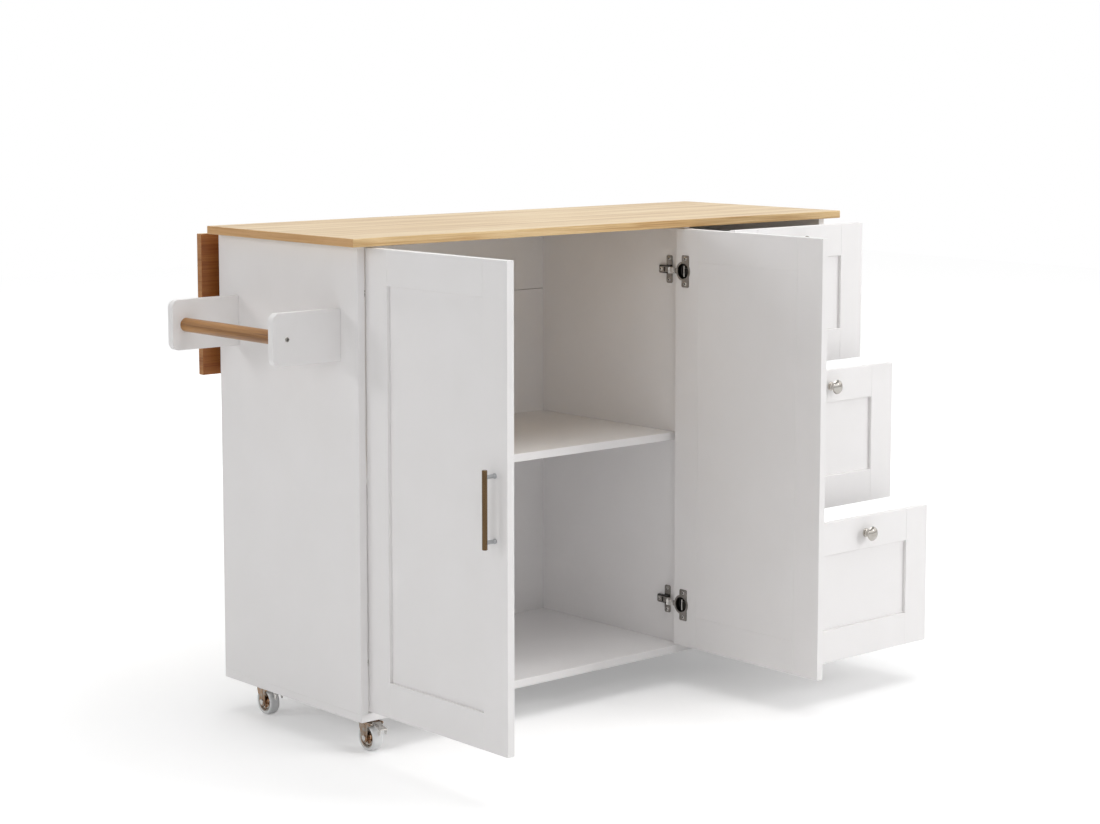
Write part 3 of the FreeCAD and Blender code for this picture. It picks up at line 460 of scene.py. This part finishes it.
# A flat part is drawn in XY. Stood up, its X lies along the island's Y, its Y points
# up, and its thickness runs along the island's X.
STAND = Matrix(((0, 0, 1, 0), (1, 0, 0, 0), (0, 1, 0, 0), (0, 0, 0, 1)))
TO_FRONT = Matrix.Rotation(math.radians(90), 4, "X")
TO_RIGHT = Matrix.Rotation(math.radians(90), 4, "Y")
TO_LEFT = Matrix.Rotation(math.radians(-90), 4, "Y")
TO_BACK = Matrix.Rotation(math.radians(-90), 4, "X")


# %% [markdown]
# ## Screws
# A cross-head screw is a low dome with a cross pressed in. The dome is turned, and
# the cross is two crossed bars of a dark finish just proud of it, which reads as the
# recess at this size and keeps the mesh light.

# %% Screw heads and their crosses
def screw_dome(radius, height):
    """A low domed head that stands on the plane it holds."""
    return turned([
        (0, 0), (0, radius), (height * 0.35, radius), (height * 0.7, radius * 0.86),
        (height * 0.93, radius * 0.5), (height, 0),
    ], 24)


def screw_cross(radius, height):
    """Two thin crossed bars that sit just proud of a dome's middle."""
    bars = []
    for turn in (0, 90):
        bar = pressed(rounded_bar(radius * 0.7, radius * 0.17, radius * 0.12, 2), 0.3, 0)
        twist = Matrix.Rotation(math.radians(turn + 20), 4, "Z")
        bars.append((bar, at(0, 0, height - 0.22) @ twist))
    return join_parts(bars)


def screw_set(places, radius, height):
    """Domes and crosses at several matrices, as two lists of placed parts."""
    domes = [(screw_dome(radius, height), spot) for spot in places]
    crosses = [(screw_cross(radius, height), spot) for spot in places]
    return domes, crosses


# %% [markdown]
# ## Drawer knobs
# A mushroom knob: a flange against the front, a waisted neck and a domed head with a
# rounded rim. It is one profile turned about the screw's axis, so a
# sweep is the natural way to make it.

# %% Knobs
KNOB_PROFILE = [
    (0, 0), (0, 8.5), (1.6, 8.5), (2.6, 8.0), (3.0, 6.9), (3.6, 5.8), (6.0, 4.9),
    (10.0, 4.6), (12.4, 5.0), (14.0, 7.2), (15.0, 10.2), (15.8, 12.6), (16.6, 13.7),
    (17.4, 14.0), (18.3, 13.7), (19.9, 12.4), (21.6, 10.1), (23.1, 7.0), (24.0, 3.8),
    (24.3, 0),
]
for number, body in ((1, "top_drawer"), (2, "middle_drawer"), (3, "bottom_drawer")):
    node_name = "drawer_%d_knob" % number
    middle = centre(node_name)
    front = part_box(node_name)[1].y * 1000
    add_piece(
        "knob_%d" % number,
        [(turned(KNOB_PROFILE, 56), at(middle.x, front, middle.z) @ TO_FRONT)],
        nickel, body, (node_name,),
    )

# %% [markdown]
# ## Bar handles
# Each door has a slim round bar with chamfered ends on two posts, and each post
# widens to a small foot on the door. Both are turned.

# %% Handles
HANDLE_LENGTH = 132.0
for side, sign, body in (("left", -1, "left_door"), ("right", 1, "right_door")):
    bar_node = "door_%s_handle_bar" % side
    posts_node = "door_%s_handle_posts" % side
    middle = centre(bar_node)
    low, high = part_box(posts_node)
    add_piece("handle_bar_" + side, [(
        turned([
            (0, 0), (0, 3.7), (0.8, 4.5), (HANDLE_LENGTH - 0.8, 4.5),
            (HANDLE_LENGTH, 3.7), (HANDLE_LENGTH, 0),
        ], 36),
        at(middle.x, middle.y, middle.z - HANDLE_LENGTH / 2),
    )], bronze, body, (bar_node,))
    foot_x = (high if sign < 0 else low).x * 1000
    inner = [low.z * 1000 + 3.5, high.z * 1000 - 3.5]
    reach = abs(foot_x - middle.x)
    post = [(0, 0), (0, 4.4), (2.4, 4.4), (3.2, 3.5), (reach - 1, 3.5), (reach - 1, 0)]
    aim = TO_LEFT if sign < 0 else TO_RIGHT
    add_piece(
        "handle_posts_" + side,
        [(turned(post, 28), at(foot_x, middle.y, z) @ aim) for z in inner],
        slide_zinc, body, (posts_node,),
    )

# %% [markdown]
# ## Concealed hinges
# On the door sits a cup with a flange and two screws, and on the cabinet wall a
# winged plate with a channel-shaped arm. Both halves are drawn in one frame whose X
# counts off the cabinet wall, so the right-hand pair mirrors the left. The frame
# comes from the door's own joint, whose axis lies 4.5 mm off the wall.

# %% Where each hinge sits
joint_of = {joint["child"]: joint for joint in frame["joints"]}
swing = joint_of["left_door"]["pos_m"]
CARCASS_FRONT = swing[1] * 1000 - 1.5
WALL_X = {
    side: joint_of[side + "_door"]["pos_m"][0] * 1000 - sign * 4.5
    for side, sign in (("left", 1), ("right", -1))
}
print("carcass front at", round(CARCASS_FRONT, 2), "mm, hinge walls at", WALL_X)


def off_wall(side, level):
    """The frame of a hinge: X off the wall it hangs on, Y from the front, Z up."""
    mirror = Matrix.Diagonal((1 if side == "left" else -1, 1, 1, 1))
    return at(WALL_X[side], CARCASS_FRONT, level) @ mirror


# %% [markdown]
# The flange is a bar across the door and a ring round the cup, in one pressing. The
# bar lies 6 mm behind the cup's middle, as its screws do on most cups of 35 mm.

# %% Cup, flange and link on the door
DOOR_FACE = 18.0
CUP_Y = -17.5
FLANGE_Y = -23.5
HINGE_INSET = 31.0


def arc(radius, shift, first, last, steps=14):
    """Points on a circle whose middle is moved along X, between two angles."""
    angles = [first + (last - first) * step / steps for step in range(steps + 1)]
    return [(shift + radius * math.cos(a), radius * math.sin(a)) for a in angles]


def flange_outline(ring, shift, half_wide, half_long, corner):
    """A bar with rounded ends whose long sides bulge out round a ring."""
    bar = rounded_bar(half_wide, half_long, corner)
    right = math.acos((half_wide - shift) / ring)
    left = math.acos((-half_wide - shift) / ring)
    near = arc(ring, shift, -right, right)
    far = arc(ring, shift, left, math.tau - left)
    return near + bar[:12] + far + bar[12:]


def profile_bar(points, half_wide, ease=0.5):
    """A bar whose XY profile is swept along Z, centred on Z."""
    return pressed(points, 2 * half_wide, ease), at(0, 0, -half_wide)


CUP_WALL = [
    (-11.0, 0), (-11.0, 17.2), (0.6, 17.2), (0.8, 16.4), (0.4, 15.8), (-9.0, 15.4),
    (-9.8, 14.4), (-9.8, 0),
]
CUP_HOLE = arc(14.6, CUP_Y - FLANGE_Y, 0, math.tau * 31 / 32, 31)
LINK = [(-8, -14), (-1.2, -13.6), (0.6, -10.5), (0.9, -3.4), (0.3, -1.1), (-8, -1.1)]
KNUCKLE = [(0.1, -2.6), (1.2, -2.6), (1.7, -1.4), (1.7, 4.4), (1.2, 5.3), (0.1, 5.3)]


def dress_cups(side):
    """Flanges, bowls, links and screws of one door's two hinges."""
    node_name = "door_%s_hinge_cups" % side
    body = side + "_door"
    low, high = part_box(node_name)
    steel, highlight_parts, shade_parts, crosses = [], [], [], []
    for level in (low.z * 1000 + HINGE_INSET, high.z * 1000 - HINGE_INSET):
        face = off_wall(side, level) @ at(DOOR_FACE, 0, 0)
        outline = flange_outline(18.8, CUP_Y - FLANGE_Y, 10.0, 31.0, 3.0)
        flange = pressed(outline, 1.2, 0.25, (CUP_HOLE,))
        steel.append((flange, face @ at(0, FLANGE_Y, 0) @ STAND))
        # The bowl and link are near-black steel: painted shade in the hollow cup.
        shade_parts.append((turned(CUP_WALL, 48), face @ at(0, CUP_Y, 0) @ TO_RIGHT))
        link, shift = profile_bar(LINK, 6.0)
        shade_parts.append((link, face @ at(0, CUP_Y, 0) @ shift))
        # The rib on the link is the lighter steel: a painted highlight on its edge.
        rib, shift = profile_bar([(0.5, -3.9), (1.1, -3.5), (1.1, -1.4), (0.5, -1.0)], 10.6, 0.2)
        highlight_parts.append((rib, face @ at(0, CUP_Y, 0) @ shift))
        knuckle, shift = profile_bar(KNUCKLE, 5.0, 0.25)
        steel.append((knuckle, face @ shift))
        spots = [face @ at(1.2, FLANGE_Y, z) @ TO_RIGHT for z in (-24.2, 24.2)]
        domes, marks = screw_set(spots, 3.4, 1.2)
        # The screw heads take the lighter steel, partly a painted highlight.
        highlight_parts += domes
        crosses += marks
    add_piece("hinge_cup_steel_" + side, steel, plated, body, (node_name,))
    add_piece("hinge_cup_bowl_" + side, shade_parts, shade_dark_steel, body)
    add_piece("hinge_cup_bright_" + side, highlight_parts, plating_and_highlight_steel, body)
    add_piece("hinge_cup_marks_" + side, crosses, recess, body)


for side in ("left", "right"):
    dress_cups(side)

# %% [markdown]
# The other half is fixed to the cabinet. Its arm is a channel whose sides are darker
# than its top, a painted dark reflection, with an adjusting screw near the back and a
# slot drawn as a thin dark plate, painted shade. At the front it cranks outwards in a
# lighter steel, a painted highlight, and ends in a nose over the cup.

# %% Plate, arm and crank on the cabinet wall
ARM_BODY = [(2, 30), (9.7, 30), (9.7, 57), (7.6, 60.3), (2, 60.5)]
ARM_TOP = [(9.6, 23.6), (11, 24.4), (11, 55), (10.2, 58.2), (8.0, 60.4), (7.4, 59.4),
           (9.0, 57.4), (9.6, 55)]
CRANK = [
    (9.3, 25.4), (9.3, 22.4), (11, 19.4), (20.1, 17.9), (20.1, 6.0), (21.7, 5.9),
    (21.8, 17.0), (23.4, 18.2), (23.2, 19.8), (13.5, 23.2), (11, 25.4),
]
arm_low, arm_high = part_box("hinge_arms")
steel, highlight_parts, shade_parts, marks = [], [], [], []
for side in ("left", "right"):
    for level in (arm_low.z * 1000 + 27.5, arm_high.z * 1000 - 27.5):
        home = off_wall(side, level)
        wings = pressed(rounded_bar(8.0, 27.5, 4.0), 2.0, 0.4)
        steel.append((wings, home @ at(0, 38, 0) @ STAND))
        # Sides in near-black steel are a painted dark reflection; the crank in the lighter steel is a painted
        # highlight.
        for points, half_wide, ease, parts in (
            (ARM_BODY, 7.5, 0.5, shade_parts), (ARM_TOP, 5.7, 0.3, steel), (CRANK, 6.0, 0.6, highlight_parts),
        ):
            bar, shift = profile_bar(points, half_wide, ease)
            parts.append((bar, home @ shift))
        spots = [home @ at(2, 38, z) @ TO_RIGHT for z in (-20.7, 20.7)]
        spots.append(home @ at(10.9, 51.5, 0) @ TO_RIGHT)
        domes, crosses = screw_set(spots, 3.4, 1.2)
        # Screw heads in the lighter steel, partly a painted highlight.
        highlight_parts += domes
        marks += crosses
        # The slot is a thin dark plate: painted shade where the slot's hole would be.
        slot_shape = pressed(rounded_bar(2.0, 4.6, 1.8), 0.5, 0)
        marks.append((slot_shape, home @ at(10.7, 42, 0) @ STAND))
add_piece("hinge_arm_steel", steel, plated, "carcass", ("hinge_arms",))
add_piece("hinge_arm_bright", highlight_parts, plating_and_highlight_steel, "carcass")
add_piece("hinge_arm_sides", shade_parts, shade_dark_steel, "carcass")
add_piece("hinge_arm_marks", marks, recess, "carcass")

# %% [markdown]
# ## Side rail screws
# One screw goes through each bracket into the rail's end, with its head outside.

# %% Rail screws
low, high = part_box("towel_rod_screws")
rail = centre("towel_rod")
spots = [
    at(rail.x, low.y * 1000 + 1.8, rail.z) @ TO_FRONT,
    at(rail.x, high.y * 1000 - 1.8, rail.z) @ TO_BACK,
]
domes, crosses = screw_set(spots, 4.2, 1.8)
add_piece("rail_screws", domes, plated, "carcass", ("towel_rod_screws",))
add_piece("rail_screw_marks", crosses, recess, "carcass")

# %% [markdown]
# ## Screws of the folding brackets
# Each wall arm of the leaf's brackets is screwed to the cabinet low down in its
# channel, where nothing of the bracket folds over the heads.

# %% Bracket screws
low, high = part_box("leaf_wall_arms")
web = low.y * 1000 + 1.5
spots = [
    at(x, web, low.z * 1000 + rise) @ TO_BACK
    for x in (low.x * 1000 + 15, high.x * 1000 - 15) for rise in (14, 54)
]
domes, crosses = screw_set(spots, 3.4, 1.0)
add_piece("bracket_screws", domes, plating_and_highlight_steel, "carcass")
add_piece("bracket_screw_marks", crosses, recess, "carcass")

# %% [markdown]
# ## Casters
# A caster is a plate screwed under the cabinet, a race, a fork of pressed steel, a
# ribbed hub in a soft tyre and a brake pedal. All but the plate are drawn here, with
# the kingpin over the origin and the wheel trailing to -Y.

# %% Caster profiles
TRAIL = 22.0
HUB_HEIGHT = 25.0
TYRE = [
    (-9.0, 18.9), (-10.0, 20.2), (-10.0, 22.0), (-9.2, 23.8), (-7.2, 24.8), (-4.0, 25.0),
    (4.0, 25.0), (7.2, 24.8), (9.2, 23.8), (10.0, 22.0), (10.0, 20.2), (9.0, 18.9),
]
HUB = [
    (-11.5, 4.2), (-11.5, 6.2), (-10.8, 6.9), (-6.4, 7.4), (-5.2, 8.8), (-5.2, 14.2),
    (-6.4, 15.6), (-8.8, 16.6), (-9.4, 18.9), (9.4, 18.9), (8.8, 16.6), (6.4, 15.6),
    (5.2, 14.2), (5.2, 8.8), (6.4, 7.4), (10.8, 6.9), (11.5, 6.2), (11.5, 4.2),
]
LEG = [
    (-4, 55), (-42, 55), (-42, 50.4), (-34, 47), (-31, 43), (-31, 25), (-29, 19.6),
    (-25, 16.4), (-22, 16), (-19, 16.4), (-15, 19.6), (-13, 25), (-7, 40), (-4, 49),
]
RACE = [
    (53, 0), (53, 15.2), (54, 16), (56.6, 16), (57.4, 15.2), (59.0, 14.2), (61.7, 13.6),
    (61.7, 0),
]
PEDAL = [
    (-34.9, 52.6), (-36, 54.4), (-38.4, 55.0), (-41.2, 53.4), (-50, 50.2), (-60, 47.8),
    (-62.6, 47.0), (-63.0, 45.8), (-62.2, 44.9), (-60, 45.4), (-50, 47.9), (-41.6, 50.2),
    (-39.4, 48.9), (-36.6, 49.1),
]
CHEEK = [
    (-62.8, 46.4), (-53.2, 48.6), (-55.2, 37.0), (-56.8, 35.7), (-59.2, 35.7), (-60.6, 36.8),
]


def ring_solid(profile, steps):
    """A turned ring with a hole: its profile is closed on itself."""
    shape = bmesh.new()
    loops = []
    for step in range(steps):
        angle = math.tau * step / steps
        loops.append([
            shape.verts.new((mm(r) * math.cos(angle), mm(r) * math.sin(angle), mm(h)))
            for h, r in profile
        ])
    count = len(profile)
    for step in range(steps):
        here, there = loops[step], loops[(step + 1) % steps]
        for spot in range(count):
            after = (spot + 1) % count
            shape.faces.new([here[spot], there[spot], there[after], here[after]])
    bmesh.ops.recalc_face_normals(shape, faces=shape.faces)
    return shape


# %% [markdown]
# The four are the same caster. Each turns to the direction in which its own wheel
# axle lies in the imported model, and its parts ride on the fork, the wheel or the pedal.

# %% Four casters
for corner in ("front_left", "front_right", "rear_left", "rear_right"):
    swivel = joint_of["fork_" + corner]["pos_m"]
    axle = joint_of["wheel_" + corner]["axis"]
    home = Matrix.Translation((swivel[0], swivel[1], 0)) @ Matrix.Rotation(
        math.atan2(axle[1], axle[0]), 4, "Z"
    )
    hub_home = home @ at(0, -TRAIL, HUB_HEIGHT) @ TO_RIGHT
    add_piece(
        "tyre_" + corner, [(ring_solid(TYRE, 64), hub_home)],
        tyre, "wheel_" + corner, ("caster_wheel_" + corner,),
    )
    # Hub and fork take the caster steel, whose warm tint is a painted reflection.
    hub_parts = [(ring_solid(HUB, 56), hub_home)]
    for spoke in range(5):
        rib = pressed(rounded_bar(3.4, 1.0, 0.7, 2), 13.4, 0.2)
        turn = Matrix.Rotation(math.tau * spoke / 5, 4, "Z")
        hub_parts.append((rib, hub_home @ turn @ at(11.4, 0, -6.7)))
    add_piece("hub_" + corner, hub_parts, warm_reflection_steel, "wheel_" + corner)
    # The lips are thin rings of the lighter steel: painted highlights round the hub.
    lips = []
    for face in (-6.0, 5.2):
        lip = [(face, 12.4), (face, 13.6), (face + 0.8, 13.6), (face + 0.8, 12.4)]
        lips.append((ring_solid(lip, 48), hub_home))
    add_piece("hub_lips_" + corner, lips, plating_and_highlight_steel, "wheel_" + corner)
    fork_parts = [(turned(RACE, 44), home)]
    for low_x, boss_x in ((-14.0, -14.5), (12.0, 13.5)):
        leg = pressed(LEG, 2.0, 0.35)
        fork_parts.append((leg, home @ at(low_x, 0, 0) @ STAND))
        boss = pressed(rounded_bar(5.0, 9.0, 2.0, 3), 1.0, 0.3)
        fork_parts.append((boss, home @ at(boss_x, -20, 41) @ STAND))
    deck = pressed(rounded_bar(13.4, 24.4, 2.0), 2.0, 0.3)
    fork_parts.append((deck, home @ at(0, -8.6, 53)))
    bolt = [(0, 0), (0, 4.0), (28, 4.0), (28, 0)]
    fork_parts.append((turned(bolt, 20), home @ at(-14, -TRAIL, HUB_HEIGHT) @ TO_RIGHT))
    nut = [(0, 0), (0, 5.8), (1.8, 5.8), (2.5, 5.0), (2.5, 0)]
    # The nuts take the lighter steel, partly a painted highlight.
    nuts = [
        (turned(nut, 6), home @ at(nut_x, -TRAIL, HUB_HEIGHT) @ aim)
        for nut_x, aim in ((14, TO_RIGHT), (-14, TO_LEFT))
    ]
    add_piece("axle_nuts_" + corner, nuts, plating_and_highlight_steel, "fork_" + corner)
    pin = [(0, 0), (0, 2.0), (28, 2.0), (28, 0)]
    fork_parts.append((turned(pin, 16), home @ at(-14, -38, 52) @ TO_RIGHT))
    add_piece(
        "fork_steel_" + corner, fork_parts, warm_reflection_steel, "fork_" + corner,
        ("caster_fork_" + corner,),
    )
    pedal_parts = [(pressed(PEDAL, 16.0, 0.3), home @ at(-8, 0, 0) @ STAND)]
    for cheek_x in (-8.0, 6.0):
        pedal_parts.append((pressed(CHEEK, 2.0, 0.3), home @ at(cheek_x, 0, 0) @ STAND))
    add_piece(
        "pedal_plate_" + corner, pedal_parts, plating_and_highlight_steel, "pedal_" + corner,
        ("caster_pedal_" + corner,),
    )

# %% [markdown]
# ## Camera
# The photograph was taken with its verticals kept almost upright from a little above
# the top. A lens of about 77 mm on a 36 mm sensor, pitched down a few degrees, gives
# the same view, and a slight shift does the rest without spoiling other views.

# %% Camera
CAMERA_SPOT_MM = (-2938.0, -3294.0, 1206.1)
CAMERA_YAW = 41.192
CAMERA_PITCH = 6.713
lens = bpy.data.cameras.new("lens")
lens.lens = 77.02
lens.sensor_width = 36.0
lens.shift_y = -0.06
camera = bpy.data.objects.new("camera", lens)
bpy.context.scene.collection.objects.link(camera)
camera.location = [mm(value) for value in CAMERA_SPOT_MM]
camera.rotation_euler = (
    math.radians(90 - CAMERA_PITCH), 0, math.radians(-CAMERA_YAW)
)
bpy.context.scene.camera = camera

# %% [markdown]
# ## Floor
# The island stands on a plain pale floor that keeps its shadow. Seen by the camera it
# also glows, more so away from the island, so that it blends into the backdrop.

# %% Floor
FLOOR_HALF = 9.0
floor_mesh = bpy.data.meshes.new("floor")
half = FLOOR_HALF
floor_mesh.from_pydata(
    [(-half, -half, 0), (half, -half, 0), (half, half, 0), (-half, half, 0)],
    [], [(0, 1, 2, 3)],
)
floor = bpy.data.objects.new("floor", floor_mesh)
bpy.context.scene.collection.objects.link(floor)
ground = bpy.data.materials.new("pale_floor")
ground.use_nodes = True
tree = ground.node_tree
tree.nodes.clear()
matt = add_node(tree, "ShaderNodeBsdfDiffuse", sockets={"Color": linear("#F4F4F4")})
path = add_node(tree, "ShaderNodeLightPath")
place = add_node(tree, "ShaderNodeTexCoord")
away = add_node(tree, "ShaderNodeVectorMath", {"operation": "LENGTH"}, {
    0: place.outputs["Object"],
})
fade = add_node(tree, "ShaderNodeMapRange", sockets={
    0: away.outputs["Value"], 1: 0.9, 2: 3.0, 3: 0.25, 4: 0.7,
})
share = add_node(tree, "ShaderNodeMath", {"operation": "MULTIPLY"}, {
    0: path.outputs["Is Camera Ray"], 1: fade.outputs[0],
})
glow = add_node(tree, "ShaderNodeEmission", sockets={
    "Color": (1, 1, 1, 1), "Strength": share.outputs[0],
})
lit = add_node(tree, "ShaderNodeAddShader", sockets={0: matt.outputs[0], 1: glow.outputs[0]})
add_node(tree, "ShaderNodeOutputMaterial", sockets={"Surface": lit.outputs[0]})
floor_mesh.materials.append(ground)

# %% [markdown]
# ## Room and lamps
# Large soft lamps stand in for a studio's softboxes: the fronts are the brightest,
# and the left side is a step darker. The camera sees a white room. Reflections see a
# dimmer one with a soft band at mid height, brighter on one side, and the front and
# rear boxes are hidden from them, because the front one washes out the worktop seen
# from behind. Two small lamps add glints to the metals, and a little light besides.

# %% Room and lamps
room = bpy.data.worlds.new("studio")
bpy.context.scene.world = room
room.use_nodes = True
tree = room.node_tree
tree.nodes.clear()
path = add_node(tree, "ShaderNodeLightPath")
shown = add_node(tree, "ShaderNodeMath", {"operation": "MAXIMUM"}, {
    0: path.outputs["Is Camera Ray"], 1: path.outputs["Is Transmission Ray"],
})
seen = add_node(tree, "ShaderNodeMapRange", sockets={0: shown.outputs[0], 3: 0.3, 4: 1.0})
place = add_node(tree, "ShaderNodeTexCoord")
height = add_node(tree, "ShaderNodeSeparateXYZ", sockets={0: place.outputs["Generated"]})
band = add_node(tree, "ShaderNodeValToRGB", sockets={0: height.outputs[2]})
stops = band.color_ramp.elements
stops[0].position, stops[0].color = 0.12, (0.35, 0.35, 0.35, 1.0)
stops[1].position, stops[1].color = 0.65, (0.12, 0.12, 0.12, 1.0)
for spot in (0.25, 0.5):
    stops.new(spot).color = (0.85, 0.85, 0.85, 1.0)
toward = add_node(tree, "ShaderNodeVectorMath", {"operation": "DOT_PRODUCT"}, {
    0: place.outputs["Generated"], 1: (0.65, -0.76, 0.0),
})
swing = add_node(tree, "ShaderNodeMapRange", sockets={
    0: toward.outputs["Value"], 1: -1.0, 3: 0.6, 4: 1.25,
})
softened = add_node(tree, "ShaderNodeMath", {"operation": "MULTIPLY"}, {
    0: band.outputs[0], 1: swing.outputs[0],
})
level = add_node(tree, "ShaderNodeMath", {"operation": "MULTIPLY_ADD"}, {
    0: path.outputs["Is Glossy Ray"], 1: softened.outputs[0], 2: seen.outputs[0],
})
sky = add_node(tree, "ShaderNodeBackground", sockets={
    "Color": (1, 1, 1, 1), "Strength": level.outputs[0],
})
add_node(tree, "ShaderNodeOutputWorld", sockets={"Surface": sky.outputs[0]})

# Each lamp has a place, a size, a power and whether reflections show it.
LAMPS = {
    "front_box": ((3.6, -4.2, 2.2), 2.6, 118.0, False),
    "side_box": ((-4.2, -1.2, 1.6), 2.2, 17.0, True),
    "back_box": ((-4.2, 2.4, 2.0), 1.0, 27.0, True),
    "rear_box": ((1.8, 4.4, 2.2), 3.0, 42.0, False),
    "top_box": ((0.2, -0.4, 4.2), 3.4, 100.0, True),
    "glint_left": ((-2.4, -4.2, 3.4), 0.9, 12.0, True),
    "glint_right": ((2.6, -4.4, 2.8), 0.7, 8.0, True),
}
TARGET = Vector((0.0, 0.0, 0.45))
for name, (spot, size, power, mirrored) in LAMPS.items():
    lamp = bpy.data.lights.new(name, "AREA")
    lamp.size = size
    lamp.energy = power
    holder = bpy.data.objects.new(name, lamp)
    holder.visible_glossy = mirrored
    bpy.context.scene.collection.objects.link(holder)
    holder.location = spot
    holder.rotation_euler = (TARGET - Vector(spot)).to_track_quat("-Z", "Y").to_euler()

bpy.context.scene.view_settings.view_transform = "Standard"
